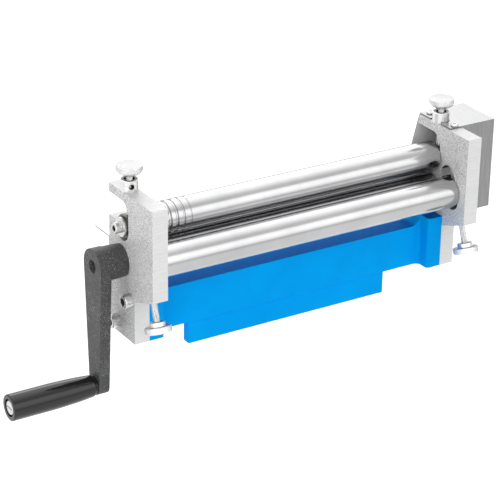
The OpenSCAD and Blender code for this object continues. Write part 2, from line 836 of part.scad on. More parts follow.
// A low screw, from its knob up to the flat of the bending bush
module low_screw(side) {
    flat = bend_bush_d / 2 - bush_flat;
    foot = low_knob_reach - low_knob_rim;
    color(zinc_c) on_side(side) on_slide(screw_x) translate([0, 0, -foot])
        cylinder(d = screw_d, h = foot - flat);
}

module left_low_screw() low_screw(-1);
module right_low_screw() low_screw(1);

// A low knob: a knurled rim with a hub above it
module low_knob(side) {
    r = low_knob_d / 2;
    hub_r = low_knob_hub_d / 2;
    edge = low_knob_rim * low_knob_edge_share;
    color(zinc_c) on_side(side) on_slide(screw_x) translate([0, 0, -low_knob_reach]) difference() {
        rotate_extrude() polygon([
            [0, 0], [r - edge, 0], [r, edge], [r, low_knob_rim - edge], [r - edge, low_knob_rim],
            [hub_r, low_knob_rim], [hub_r, low_knob_rim + low_knob_hub - edge],
            [hub_r - edge, low_knob_rim + low_knob_hub], [0, low_knob_rim + low_knob_hub]
        ]);
        translate([0, 0, low_knob_rim]) cylinder(d = screw_d + 2 * press_fit, h = low_knob_hub + over);
    }
}

module left_low_knob() low_knob(-1);
module right_low_knob() low_knob(1);

// Puts its children at the two screws of the cover
module cover_screw_at() {
    for (side = [-1, 1]) translate([screw_x + cover_screw_d / 2, side * cover_screw_off, top_z])
        children();
}

// The folded gear cover: flange on the plate, front, side and rear panels, open below
module gear_cover() {
    lap_x = outer_x - cover_lap;
    color(cover_c) difference() {
        union() {
            translate([lap_x, -cover_front, top_z])
                cube([cover_x - lap_x, cover_front + cover_rear, cover_t]);
            translate([outer_x + cover_side_gap, -cover_front, cover_low_z])
                cube([cover_x - outer_x - cover_side_gap, cover_t, cover_drop]);
            translate([cover_x - cover_t, -cover_front, cover_low_z])
                cube([cover_t, cover_front + cover_rear, cover_drop]);
            translate([0, cover_rear, 0]) rotate([90, 0, 0])
                linear_extrude(cover_t) cover_rear_outline();
        }
        translate([screw_x, 0, top_z - over]) cylinder(r = cover_slot_r, h = cover_t + 2 * over);
        translate([lap_x - over, -cover_slot_r, top_z - over])
            cube([screw_x - lap_x + over, 2 * cover_slot_r, cover_t + 2 * over]);
        cover_screw_at() translate([0, 0, -over])
            cylinder(d = cover_screw_d + 2 * slide_fit, h = cover_t + 2 * over);
    }
}

// Outline of the cover's rear panel, X against Z, with a tab behind the plate
module cover_rear_outline() {
    tab_top_x = half_w + cover_tab;
    tab_low_z = tray_z + tray_lip_gap;
    tab_low_x = tab_top_x - (top_z - tab_low_z) * cover_tab_slope;
    side_x = outer_x + cover_side_gap;
    polygon([
        [tab_top_x, top_z], [cover_x, top_z], [cover_x, cover_low_z], [side_x, cover_low_z],
        [side_x, tab_low_z], [tab_low_x, tab_low_z]
    ]);
}

module gear_cover_screws() {
    color(zinc_c) cover_screw_at() translate([0, 0, cover_t])
        pan_screw(cover_screw_d, cover_screw_l, cover_screw_head_d, cover_screw_head_h);
}

// Puts its children at the tray's screw on the rear of the right plate, +Z to the rear
module tray_screw_at() {
    translate([screw_x, plate_rear, tray_z - tray_flange_h / 2 - tray_t]) rotate([-90, 0, 0])
        children();
}

// Section of the feed tray, Y against Z: a shelf and a flange with a rounded bend
module tray_section() {
    corner_y = plate_rear + tray_bend;
    corner_z = tray_z - tray_bend;
    translate([corner_y, tray_z - tray_t]) square([tray_d - tray_bend, tray_t]);
    translate([plate_rear, tray_z - tray_flange_h]) square([tray_t, tray_flange_h - tray_bend]);
    intersection() {
        translate([corner_y, corner_z]) difference() {
            circle(r = tray_bend);
            circle(r = tray_bend - tray_t);
        }
        translate([plate_rear, corner_z]) square(tray_bend);
    }
}

module feed_tray() {
    color(plate_c) difference() {
        along_x(-outer_x, outer_x) tray_section();
        for (side = [-1, 1]) on_side(side) tray_screw_at() translate([0, 0, -over])
            cylinder(d = tray_screw_d + 2 * slide_fit, h = tray_t + 2 * over);
    }
}

module feed_tray_screws() {
    color(zinc_c) for (side = [-1, 1]) on_side(side) tray_screw_at() translate([0, 0, tray_t])
        pan_screw(tray_screw_d, tray_screw_l, tray_screw_head_d, tray_screw_head_h);
}

left_side_plate();
right_side_plate();
base_casting();
left_plate_bolts();
right_plate_bolts();
left_drive_bush();
right_drive_bush();
gear_cover();
gear_cover_screws();
feed_tray();
feed_tray_screws();
left_upper_bush();
right_upper_bush();
upper_roller();
upper_end_washer();
upper_end_screw();
upper_gear();
upper_gear_key();
upper_gear_washer();
upper_gear_screw();
drive_roller();
drive_gear();
drive_gear_key();
drive_gear_washer();
drive_gear_screw();
crank_washer();
crank_arm();
crank_set_screw();
grip_bolt();
grip_washer();
crank_grip();
left_bending_bush();
right_bending_bush();
bending_roller();
left_top_screw();
right_top_screw();
left_top_knob();
right_top_knob();
left_lock_collar();
right_lock_collar();
left_low_screw();
right_low_screw();
left_low_knob();
right_low_knob();
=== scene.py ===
import math

import bmesh
import bpy
from mathutils import Matrix, Vector


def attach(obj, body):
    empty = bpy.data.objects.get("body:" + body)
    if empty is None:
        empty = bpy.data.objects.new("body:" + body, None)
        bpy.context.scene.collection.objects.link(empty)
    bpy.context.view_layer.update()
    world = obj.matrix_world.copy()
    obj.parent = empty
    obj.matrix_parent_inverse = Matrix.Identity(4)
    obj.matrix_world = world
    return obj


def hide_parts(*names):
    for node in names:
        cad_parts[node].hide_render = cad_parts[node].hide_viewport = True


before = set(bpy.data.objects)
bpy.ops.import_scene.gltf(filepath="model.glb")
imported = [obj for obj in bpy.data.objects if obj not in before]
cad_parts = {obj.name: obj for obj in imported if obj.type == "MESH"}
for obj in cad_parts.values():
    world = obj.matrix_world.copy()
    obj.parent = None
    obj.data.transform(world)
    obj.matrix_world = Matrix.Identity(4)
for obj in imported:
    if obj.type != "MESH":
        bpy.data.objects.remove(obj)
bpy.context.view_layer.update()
scene = bpy.context.scene


# The camera stands in front of the crank's side, a little above the machine, and
# looks across the rollers towards the gear cover with a long lens.
camera_turn = math.radians(-32.20)
camera_rise = math.radians(24.65)
camera_roll = math.radians(1.0)
camera_distance = 1.840
camera_aim = Vector((-0.0487, -0.009, 0.0818))
lens_mm = 145.9
sensor_mm = 36
nearest_seen = 0.1
farthest_seen = 20

ahead = Vector((-math.sin(camera_turn) * math.cos(camera_rise),
                math.cos(camera_turn) * math.cos(camera_rise),
                -math.sin(camera_rise)))
level = Vector((math.cos(camera_turn), math.sin(camera_turn), 0))
upward = level.cross(ahead)
camera_right = level * math.cos(camera_roll) + upward * math.sin(camera_roll)
camera_up = upward * math.cos(camera_roll) - level * math.sin(camera_roll)

camera = bpy.data.objects.new("camera", bpy.data.cameras.new("camera"))
scene.collection.objects.link(camera)
camera.data.lens = lens_mm
camera.data.sensor_width = sensor_mm
camera.data.clip_start = nearest_seen
camera.data.clip_end = farthest_seen
pose = Matrix((camera_right, camera_up, -ahead)).transposed().to_4x4()
pose.translation = camera_aim - ahead * camera_distance
camera.matrix_world = pose
scene.camera = camera
scene.view_settings.view_transform = "Standard"


# The studio: a white surround, a wide soft box in front, a deep one overhead, smaller
# ones at the left and behind, and a pale floor below the machine, which a vice would
# hold clear of the bench.
white = (1, 1, 1, 1)
surround_light = 0.54
backdrop_light = 1
rollers_middle = Vector((0, 0, 0.1))
world = bpy.data.worlds.new("surround")
scene.world = world
world.use_nodes = True
air = world.node_tree
air.nodes.clear()
output = air.nodes.new("ShaderNodeOutputWorld")
choice = air.nodes.new("ShaderNodeMixShader")


def looked_at(tree):
    """A number that is 1 for camera, glossy and transmission rays, and 0 for others."""
    ray = tree.nodes.new("ShaderNodeLightPath")
    found = ray.outputs["Is Camera Ray"]
    for kind in ("Is Glossy Ray", "Is Transmission Ray"):
        either = tree.nodes.new("ShaderNodeMath")
        either.operation = "MAXIMUM"
        tree.links.new(found, either.inputs[0])
        tree.links.new(ray.outputs[kind], either.inputs[1])
        found = either.outputs[0]
    return found


for socket, strength in ((1, surround_light), (2, backdrop_light)):
    backdrop = air.nodes.new("ShaderNodeBackground")
    backdrop.inputs["Color"].default_value = white
    backdrop.inputs["Strength"].default_value = strength
    air.links.new(backdrop.outputs[0], choice.inputs[socket])
air.links.new(looked_at(air), choice.inputs["Fac"])
air.links.new(choice.outputs[0], output.inputs["Surface"])


def soft_box(name, turn, rise, distance, width, depth, brightness, falloff):
    """A soft box turned to the rollers, its cloth fading over its depth.

    The turn is counted from the front to the left, the rise from there over the top.
    The falloff lists places from its lower edge to its upper edge, with the share of
    the full brightness there.
    """
    lamp = bpy.data.lights.new(name, "AREA")
    lamp.shape = "RECTANGLE"
    lamp.size = width
    lamp.size_y = depth
    lamp.energy = brightness * width * depth * math.pi
    lamp.use_nodes = True
    cloth = lamp.node_tree
    glow = cloth.nodes["Emission"]
    spot = cloth.nodes.new("ShaderNodeNewGeometry")
    across = cloth.nodes.new("ShaderNodeSeparateXYZ")
    fade = cloth.nodes.new("ShaderNodeValToRGB")
    fade.color_ramp.interpolation = "EASE"
    stops = fade.color_ramp.elements
    while len(stops) < len(falloff):
        stops.new(0.5)
    for stop, (place, share) in zip(stops, falloff):
        stop.position = place
        stop.color = (share, share, share, 1)
    cloth.links.new(spot.outputs["Parametric"], across.inputs[0])
    cloth.links.new(across.outputs["Y"], fade.inputs["Fac"])
    cloth.links.new(fade.outputs["Color"], glow.inputs["Strength"])
    holder = bpy.data.objects.new(name, lamp)
    up = math.radians(rise)
    way = Vector((-math.sin(math.radians(turn)), -math.cos(math.radians(turn)), 0))
    out = way * math.cos(up) + Vector((0, 0, math.sin(up)))
    over = Vector((0, 0, math.cos(up))) - way * math.sin(up)
    stand = Matrix((over.cross(out), over, out)).transposed().to_4x4()
    holder.matrix_world = Matrix.Translation(rollers_middle + out * distance) @ stand
    holder.visible_camera = False
    scene.collection.objects.link(holder)


soft_box("front_box", turn=0, rise=17, distance=1.6, width=2.8, depth=1.63, brightness=1.2,
         falloff=[(0, 0), (0.12, 0.2), (0.26, 0.5), (0.41, 0.85), (0.66, 1), (0.91, 0.8), (1, 0.6)])
soft_box("top_box", turn=0, rise=108, distance=1.5, width=2.8, depth=3.0, brightness=1.17,
         falloff=[(0, 0), (0.17, 0.3), (0.33, 0.62), (0.42, 0.9), (0.55, 1), (0.75, 0.8), (1, 0.55)])
soft_box("left_box", turn=66, rise=14, distance=1.1, width=0.9, depth=1.1, brightness=0.90,
         falloff=[(0, 0.6), (0.5, 1), (1, 0.6)])
soft_box("rear_box", turn=-148, rise=26, distance=1.9, width=1.8, depth=0.9, brightness=1.9,
         falloff=[(0, 0.2), (0.3, 1), (0.8, 1), (1, 0.3)])

floor_drop = 0.30
floor_reach = 6
floor_glow = 0.20
floor_mesh = bpy.data.meshes.new("floor")
floor_corners = [(x * floor_reach, y * floor_reach, 0) for x, y in ((-1, -1), (1, -1), (1, 1), (-1, 1))]
floor_mesh.from_pydata(floor_corners, [], [(0, 1, 2, 3)])
floor = bpy.data.objects.new("floor", floor_mesh)
floor.location.z = -floor_drop
scene.collection.objects.link(floor)
paper = bpy.data.materials.new("white_paper")
paper.use_nodes = True
sheet = paper.node_tree.nodes["Principled BSDF"]
sheet.inputs["Base Color"].default_value = (0.95, 0.95, 0.95, 1)
sheet.inputs["Roughness"].default_value = 0.9
sheet.inputs["Specular IOR Level"].default_value = 0.1
sheet.inputs["Emission Color"].default_value = white
lift = paper.node_tree.nodes.new("ShaderNodeMath")
lift.operation = "MULTIPLY"
lift.inputs[1].default_value = floor_glow
paper.node_tree.links.new(looked_at(paper.node_tree), lift.inputs[0])
paper.node_tree.links.new(lift.outputs[0], sheet.inputs["Emission Strength"])
floor_mesh.materials.append(paper)


# The side plates: two steel plates that carry the rollers, bead-blasted on their
# broad sides, milled along their edges and duller on top, with every edge broken.
# The walls of the pockets for the bending roller's bushes are painted dark as shade
# and their floors lighter as light; the broken edges are painted bright as highlights.
mm = 0.001
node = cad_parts


def finish_of(name, color, metallic, roughness):
    """A named finish and its shader."""
    material = bpy.data.materials.new(name)
    material.use_nodes = True
    shader = material.node_tree.nodes["Principled BSDF"]
    shader.inputs["Base Color"].default_value = (*color, 1)
    shader.inputs["Metallic"].default_value = metallic
    shader.inputs["Roughness"].default_value = roughness
    return material, shader


def add(material, kind, inputs=None, **settings):
    """Adds a shader node with its settings, and links or sets its inputs."""
    made = material.node_tree.nodes.new("ShaderNode" + kind)
    for key, value in settings.items():
        setattr(made, key, value)
    for key, value in (inputs or {}).items():
        if isinstance(value, bpy.types.NodeSocket):
            material.node_tree.links.new(value, made.inputs[key])
        else:
            made.inputs[key].default_value = value
    return made


def number(material, operation, *parts):
    """A number worked out from up to three others."""
    return add(material, "Math", dict(enumerate(parts)), operation=operation).outputs[0]


def parts_of(material, which):
    """The X, Y and Z of each surface point's Object place, or of its Normal."""
    return add(material, "SeparateXYZ", {"Vector": add(material, "TexCoord").outputs[which]}).outputs


def grey(shade):
    """An even grey."""
    return (shade, shade, shade)


def grain(material, scale, detail=4, stretch=(1, 1, 1), roughness=0.55):
    """Noise in the piece's own coordinates, its grain given as grains per metre."""
    place = add(material, "TexCoord")
    mapped = add(material, "Mapping", {"Vector": place.outputs["Object"], "Scale": stretch})
    return add(material, "TexNoise", {"Vector": mapped.outputs["Vector"], "Scale": scale,
                                      "Detail": detail, "Roughness": roughness}).outputs["Fac"]


def shades(material, fac, low, high, start=0.3, end=0.7):
    """Turns a grain into a colour between two shades."""
    ramp = add(material, "ValToRGB", {"Fac": fac})
    ramp.color_ramp.elements[0].position = start
    ramp.color_ramp.elements[0].color = (*low, 1)
    ramp.color_ramp.elements[1].position = end
    ramp.color_ramp.elements[1].color = (*high, 1)
    return ramp.outputs["Color"]


def values(material, fac, low, high, start=0.3, end=0.7):
    """Turns a grain into a number between two values."""
    return add(material, "MapRange", {"Value": fac, "From Min": start, "From Max": end,
                                      "To Min": low, "To Max": high}).outputs["Result"]


def mixed(material, fac, first, second):
    """Mixes two colours by a number, through the sockets that the node keeps for colours."""
    mix = add(material, "Mix", data_type="RGBA")
    factor, colour_a, colour_b, colour_out = 0, 6, 7, 2
    for socket, source in ((factor, fac), (colour_a, first), (colour_b, second)):
        material.node_tree.links.new(source, mix.inputs[socket])
    return mix.outputs[colour_out]


def bumps(material, shader, height, depth):
    """Raises the surface by a grain."""
    bump = add(material, "Bump", {"Height": height, "Distance": depth, "Strength": 1.0})
    material.node_tree.links.new(bump.outputs["Normal"], shader.inputs["Normal"])


def joined(material, source, shader, socket):
    """Links a colour or number to one of the shader's sockets."""
    material.node_tree.links.new(source, shader.inputs[socket])


def dress(names, material):
    """Puts a finish on every slot of the named CAD pieces."""
    for name in names:
        mesh = node[name].data
        for i in range(max(1, len(mesh.materials))):
            if i < len(mesh.materials):
                mesh.materials[i] = material
            else:
                mesh.materials.append(material)


weld_gap = 0.001 * mm
flat_within = math.radians(0.8)


def break_edges(names, width, segments=2, angle=32):
    """Breaks the sharp edges of the named CAD pieces, as a file or a tumbler does."""
    for name in names:
        piece = node[name]
        weld = piece.modifiers.new("weld", "WELD")
        weld.merge_threshold = weld_gap
        flats = piece.modifiers.new("flats", "DECIMATE")
        flats.decimate_type = "DISSOLVE"
        flats.angle_limit = flat_within
        bevel = piece.modifiers.new("broken_edges", "BEVEL")
        bevel.width = width
        bevel.segments = segments
        bevel.limit_method = "ANGLE"
        bevel.angle_limit = math.radians(angle)
        bevel.harden_normals = False
        normals = piece.modifiers.new("normals", "WEIGHTED_NORMAL")
        normals.keep_sharp = True
        piece.data.shade_smooth()


# The floor of the pockets, from the middle, and a box round their walls
pocket_floor = 171 * mm
pocket_y = -32 * mm
pocket_half_y = 16 * mm
pocket_z = 105.5 * mm
pocket_half_z = 30 * mm


def plate_steel():
    material, shader = finish_of("plate_steel", grey(0.6), metallic=0.8, roughness=0.5)
    pits = grain(material, scale=1333, detail=2, roughness=0.7)
    clouds = grain(material, scale=45, detail=3)
    marks = grain(material, scale=1, detail=3, stretch=(70, 900, 900))
    place = parts_of(material, "Object")
    facing = parts_of(material, "Normal")

    blasted_and_floor_light = mixed(material, values(material, clouds, 0, 0.5),
                    shades(material, pits, grey(0.18), grey(0.97), 0.37, 0.63),
                    shades(material, pits, grey(0.58), grey(0.82)))
    # The floors of the pockets are painted lighter than the broad sides: painted light against their shade.
    depth = number(material, "ABSOLUTE", place["X"])
    lit_pocket_floor = number(material, "COMPARE", depth, pocket_floor, 2 * mm)
    blasted_and_floor_light = mixed(material, lit_pocket_floor, blasted_and_floor_light,
                    shades(material, pits, grey(0.70), grey(1.0), 0.42, 0.58))

    # The walls of the pockets are painted near black as shade.
    wall_shade_mask = number(material, "MULTIPLY",
                       number(material, "COMPARE", place["Y"], pocket_y, pocket_half_y),
                       number(material, "COMPARE", place["Z"], pocket_z, pocket_half_z))
    milled_and_wall_shade = mixed(material, wall_shade_mask,
                   shades(material, marks, grey(0.63), grey(0.70)),
                   shades(material, pits, grey(0.02), grey(0.06)))
    sawn = shades(material, marks, grey(0.50), grey(0.57))
    # The slanted faces of the broken edges are painted bright, as highlights.
    edge_highlight = shades(material, marks, grey(0.92), grey(0.97))

    broad = number(material, "ABSOLUTE", facing["X"])
    edge = values(material, broad, 1, 0, 0.55, 0.9)
    top = values(material, facing["Z"], 0, 1, 0.6, 0.95)
    slant = number(material, "MULTIPLY", broad, number(material, "SUBTRACT", 1, broad))
    faces = mixed(material, edge, blasted_and_floor_light, mixed(material, top, milled_and_wall_shade, sawn))
    faces = mixed(material, values(material, slant, 0, 1, 0.10, 0.19), faces, edge_highlight)
    joined(material, faces, shader, "Base Color")
    joined(material, values(material, edge, 0.20, 0.50, 0, 1), shader, "Metallic")
    joined(material, values(material, clouds, 0.50, 0.62), shader, "Roughness")
    bumps(material, shader, pits, depth=0.08 * mm)
    return material


side_plates = ["left_side_plate", "right_side_plate"]
dress(side_plates, plate_steel())
break_edges(side_plates, width=1.4 * mm, segments=3)


# The base: one iron casting, a beam with a flange at each plate and the vice's tongue
# below. It is painted a strong blue over the slightly uneven cast skin, and its upper
# faces are painted darker as the shade under the rollers.
def blue_paint():
    material, shader = finish_of("blue_paint", (0.0, 0.34, 0.87), metallic=0.0, roughness=0.4)
    shader.inputs["Specular IOR Level"].default_value = 0.02
    skin = grain(material, scale=260, detail=3)
    clouds = grain(material, scale=25, detail=2)
    fresh = shades(material, clouds, (0.0, 0.31, 0.79), (0.0, 0.345, 0.85))
    # Upward faces are painted darker, as the shade under the rollers.
    shaded_top = shades(material, skin, (0.0, 0.12, 0.46), (0.0, 0.16, 0.58))
    upward_face = values(material, parts_of(material, "Normal")["Z"], 0, 1, 0.80, 0.97)
    joined(material, mixed(material, upward_face, fresh, shaded_top), shader, "Base Color")
    joined(material, values(material, skin, 0.46, 0.60), shader, "Roughness")
    bumps(material, shader, skin, depth=0.05 * mm)
    return material


dress(["base_casting"], blue_paint())
break_edges(["base_casting"], width=1.0 * mm, segments=3, angle=40)


# The plate bolts: socket-head screws, zinc plated, two through each plate into the
# casting's flange. Their heads are turned smooth, and their sockets painted dark as shade.
sharp_from = math.radians(50)


def spun(name, rings, place, along, material, body, replaced=(), steps=96, recess=0):
    """Turns a closed solid round the line that runs along a direction from a place.

    Each ring is a height on that line and a radius, or a function giving the radius
    at an angle. A radius of 0 closes the end; without one the last ring meets the first.
    The recess counts the last bands between rings, which are painted dark as shade.
    """
    maker = bmesh.new()
    loops = []
    for height, radius in rings:
        if radius == 0:
            loops.append([maker.verts.new((0, 0, height))])
            continue
        loop = []
        for i in range(steps):
            a = 2 * math.pi * i / steps
            r = radius(a, height) if callable(radius) else radius
            loop.append(maker.verts.new((r * math.cos(a), r * math.sin(a), height)))
        loops.append(loop)
    ends = [] if rings[0][1] == 0 else [loops[0]]
    bands = list(zip(loops, loops[1:] + ends))
    for band, (low, high) in enumerate(bands):
        for i in range(steps):
            j = (i + 1) % steps
            if len(low) == 1:
                face = maker.faces.new((low[0], high[j], high[i]))
            elif len(high) == 1:
                face = maker.faces.new((low[i], low[j], high[0]))
            else:
                face = maker.faces.new((low[i], low[j], high[j], high[i]))
            face.material_index = 1 if band >= len(bands) - recess else 0
    bmesh.ops.recalc_face_normals(maker, faces=maker.faces)
    mesh = bpy.data.meshes.new(name)
    maker.to_mesh(mesh)
    maker.free()
    turn = Vector(along).to_track_quat("Z", "Y").to_matrix().to_4x4()
    mesh.transform(Matrix.Translation(place) @ turn)
    mesh.shade_smooth()
    mesh.set_sharp_from_angle(angle=sharp_from)
    mesh.materials.append(material)
    if recess:
        mesh.materials.append(recess_shade)
    piece = bpy.data.objects.new(name, mesh)
    scene.collection.objects.link(piece)
    normals = piece.modifiers.new("normals", "WEIGHTED_NORMAL")
    normals.keep_sharp = True
    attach(piece, body)
    if replaced:
        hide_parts(*replaced)
    return piece


def softened(points, radius, steps=3):
    """Rounds the inner corners of an outline, by less than half of each side."""
    most = 0.45
    smooth = [points[0]]
    for before, corner, after in zip(points, points[1:], points[2:]):
        here = Vector(corner)
        back = Vector(before) - here
        on = Vector(after) - here
        start = here + back * min(radius / back.length, most)
        end = here + on * min(radius / on.length, most)
        for i in range(steps + 1):
            t = i / steps
            spot = start * (1 - t) ** 2 + here * (2 * t * (1 - t)) + end * t ** 2
            smooth.append((spot.x, spot.y))
    smooth.append(points[-1])
    return smooth


def hexagon(flats):
    """The radius of a hexagon of a width across its flats."""
    return lambda a, h: flats / 2 / math.cos((a + math.pi / 6) % (math.pi / 3) - math.pi / 6)


def socket_head(d, length, head_d, head_h):
    """The rings of a socket-head screw, its seat at 0 and its socket above."""
    r = head_d / 2
    flats = head_d * 0.46
    edge = 0.5 * mm
    return [(-length, 0), (-length, d / 2 - edge), (edge - length, d / 2), (0, d / 2),
            (0, r - edge / 2), (0.2 * edge, r - 0.1 * edge), (0.6 * edge, r),
            (head_h - 1.6 * edge, r), (head_h - edge, r - 0.1 * edge),
            (head_h - 0.3 * edge, r - 0.7 * edge), (head_h, r - 1.2 * edge),
            (head_h, flats * 0.62), (head_h - 0.5 * edge, hexagon(flats)),
            (head_h * 0.5, hexagon(flats)), (head_h * 0.5 - 0.7 * mm, 0)]


def zinc_plate(name="zinc_plate", tint=(0.72, 0.72, 0.715), top_shade=(0.60, 0.60, 0.595), ring_shade=None):
    """Zinc plating, its level faces painted darker as shade, and painted dark as shade near a vertical line.

    Ring shade gives the line's distance from the middle plane and the reach of the painted shade round it.
    """
    material, shader = finish_of(name, tint, metallic=0.9, roughness=0.28)
    wear = grain(material, scale=500, detail=4)
    # Level faces are painted darker, as shade against the light from above.
    level_face = values(material, parts_of(material, "Normal")["Z"], 0, 1, 0.8, 0.97)
    colour = mixed(material, level_face,
                   shades(material, wear, tuple(0.80 * part for part in tint), tint),
                   shades(material, wear, tuple(0.86 * part for part in top_shade), top_shade))
    if ring_shade:
        # Within the reach of the line the colour is painted near black, as shade.
        line_x, reach = ring_shade
        spot = parts_of(material, "Object")
        off = number(material, "SUBTRACT", number(material, "ABSOLUTE", spot["X"]), line_x)
        away = add(material, "CombineXYZ", {"X": off, "Y": spot["Y"]}).outputs[0]
        distance = add(material, "VectorMath", {0: away}, operation="LENGTH").outputs["Value"]
        near = values(material, distance, 1, 0, reach - 0.1 * mm, reach + 0.1 * mm)
        colour = mixed(material, near, colour, shades(material, wear, grey(0.02), grey(0.05)))
    joined(material, colour, shader, "Base Color")
    joined(material, values(material, wear, 0.22, 0.40), shader, "Roughness")
    bumps(material, shader, wear, depth=0.015 * mm)
    return material


# A near-black finish that paints the shade in socket and cross recesses.
def recess_shade_finish():
    material, shader = finish_of("recess_shade_finish", grey(0.05), metallic=0.6, roughness=0.4)
    mottle = grain(material, scale=700, detail=3)
    joined(material, shades(material, mottle, grey(0.04), grey(0.14)), shader, "Base Color")
    joined(material, values(material, mottle, 0.3, 0.5), shader, "Roughness")
    return material


zinc = zinc_plate()
recess_shade = recess_shade_finish()
socket_bands = 3
head_steps = 240
plate_face = 175 * mm
plate_bolt = socket_head(d=8 * mm, length=27.2 * mm, head_d=13 * mm, head_h=8 * mm)
bolt_places = [(-14 * mm, 64 * mm), (10 * mm, 34.5 * mm)]
for side, way in (("left", -1), ("right", 1)):
    for i, (y, z) in enumerate(bolt_places):
        spun(f"{side}_plate_bolt_{i + 1}", plate_bolt, (way * plate_face, y, z), (way, 0, 0), zinc,
             "frame", [f"{side}_plate_bolts"], head_steps, socket_bands)


# The bushes: plain bearings of sintered bronze, dark with oil, pressed in for the drive
# roller and sliding in their slots for the other two.
def sintered_bronze():
    material, shader = finish_of("sintered_bronze", (0.22, 0.205, 0.18), metallic=0.9, roughness=0.42)
    pores = grain(material, scale=1800, detail=3)
    joined(material, shades(material, pores, (0.09, 0.084, 0.075), (0.20, 0.19, 0.17)),
           shader, "Base Color")
    bumps(material, shader, pores, depth=0.02 * mm)
    return material


bushes = ["left_drive_bush", "right_drive_bush", "left_upper_bush", "right_upper_bush",
          "left_bending_bush", "right_bending_bush"]
dress(bushes, sintered_bronze())
break_edges(bushes, width=0.3 * mm)


# The rollers: steel bars turned, ground and polished, the last grinding marks running
# round them. The upper one has wire grooves, and the drive roller a flat for the crank.
def ground_steel():
    material, shader = finish_of("ground_steel", grey(0.47), metallic=1.0, roughness=0.16)
    rings = grain(material, scale=1, detail=2, stretch=(2600, 40, 40))
    clouds = grain(material, scale=30, detail=3)
    joined(material, values(material, rings, 0.13, 0.24), shader, "Roughness")
    joined(material, shades(material, clouds, (0.44, 0.44, 0.445), (0.50, 0.50, 0.505)),
           shader, "Base Color")
    bumps(material, shader, rings, depth=0.004 * mm)
    return material


roller_r = 15 * mm
roller_end = 159.5 * mm
roller_edge = 0.8 * mm
seat_r = 6 * mm
drive_z = 98 * mm
upper_z = 129.5 * mm
gear_x = 178 * mm
keyway_start = 0.3 * mm
seat_end = 189.7 * mm
keyway_floor = 3.5 * mm
keyway_half = 2 * mm
crank_flat = 5 * mm


def keyed(a, h):
    """A gear seat with its keyway to the rear, which is at a quarter turn."""
    off = abs((a - math.pi / 2 + math.pi) % (2 * math.pi) - math.pi)
    if seat_r * math.sin(min(off, math.pi / 2)) < keyway_half:
        return keyway_floor / math.cos(off)
    return seat_r


def flatted(a, h):
    """The crank's seat with its flat to the rear."""
    off = abs((a - math.pi / 2 + math.pi) % (2 * math.pi) - math.pi)
    return min(seat_r, crank_flat / max(math.cos(off), 0.1))


def barrel(journal):
    """The ground body of a roller between its journals, chamfered at both ends."""
    return [(-roller_end, journal), (-roller_end, roller_r - roller_edge),
            (roller_edge - roller_end, roller_r), (roller_end - roller_edge, roller_r),
            (roller_end, roller_r - roller_edge), (roller_end, journal)]


def grooved(outline, places, radii):
    """Cuts half-round grooves into the long top line of an outline."""
    cut = []
    for spot, after in zip(outline, outline[1:] + [None]):
        cut.append(spot)
        if after and spot[1] == after[1] == roller_r:
            for middle, r in zip(places, radii):
                for i in range(9):
                    a = math.pi * i / 8
                    cut.append((middle - r * math.cos(a), roller_r - r * math.sin(a)))
    return cut


def gear_seat(journal):
    """The shouldered end of a roller with the keyed seat of its gear."""
    return [(gear_x, journal), (gear_x, seat_r), (gear_x + keyway_start, seat_r),
            (gear_x + keyway_start, keyed), (seat_end, keyed), (seat_end, 0)]


polished = ground_steel()
roller_steps = 144
journal_r = 7 * mm
journal_end = 175.3 * mm
groove_first = 25 * mm
groove_step = 7.1 * mm
groove_places = [groove_first + groove_step * i - roller_end for i in range(4)]
groove_radii = [1.8 * share * mm for share in (1, 0.83, 0.6, 0.4)]
grooved_bar = grooved(barrel(journal_r), groove_places, groove_radii)
spun("upper_roller_bar", [(-journal_end, 0), (-journal_end, journal_r - roller_edge),
                          (roller_edge - journal_end, journal_r)] + grooved_bar + gear_seat(journal_r),
     (0, 0, upper_z), (1, 0, 0), polished, "upper_roll", ["upper_roller"], roller_steps)

journal_r = 8 * mm
shaft_end = 201 * mm
flat_from = 176.3 * mm
spun("drive_roller_bar", [(-shaft_end, 0), (-shaft_end, flatted), (-flat_from, flatted), (-flat_from, seat_r),
                          (-journal_end, seat_r), (-journal_end, journal_r)] +
     barrel(journal_r) + gear_seat(journal_r),
     (0, 0, drive_z), (1, 0, 0), polished, "drive_roll", ["drive_roller"], roller_steps)

journal_r = 6 * mm
journal_end = 170.7 * mm
bend_y = -30.498 * mm
bend_z = 103.5 * mm
spun("bending_roller_bar", [(-journal_end, 0), (-journal_end, journal_r)] + barrel(journal_r) +
     [(journal_end, journal_r), (journal_end, 0)],
     (0, bend_y, bend_z), (1, 0, 0), polished, "bending_roll", ["bending_roller"],
     roller_steps)


# The upper roller's left end: a washer and a socket screw in the end of its journal,
# zinc plated, which keep the bush in its slot.
end_washer_face = 177.3 * mm
end_screw = socket_head(d=6 * mm, length=14 * mm, head_d=10 * mm, head_h=6 * mm)
dress(["upper_end_washer"], zinc)
break_edges(["upper_end_washer"], width=0.3 * mm)
spun("upper_end_socket_screw", end_screw, (-end_washer_face, 0, upper_z), (-1, 0, 0), zinc,
     "upper_roll", ["upper_end_screw"], head_steps, socket_bands)


# The gears: spur gears cut from steel bar and oiled, each keyed to its roller and held
# by a washer and a socket screw, under the cover.
def machined_steel():
    material, shader = finish_of("machined_steel", (0.33, 0.33, 0.335), metallic=1.0, roughness=0.35)
    mottle = grain(material, scale=120, detail=3)
    joined(material, shades(material, mottle, (0.24, 0.235, 0.225), (0.38, 0.38, 0.385)), shader, "Base Color")
    joined(material, values(material, mottle, 0.22, 0.45), shader, "Roughness")
    bumps(material, shader, mottle, depth=0.02 * mm)
    return material


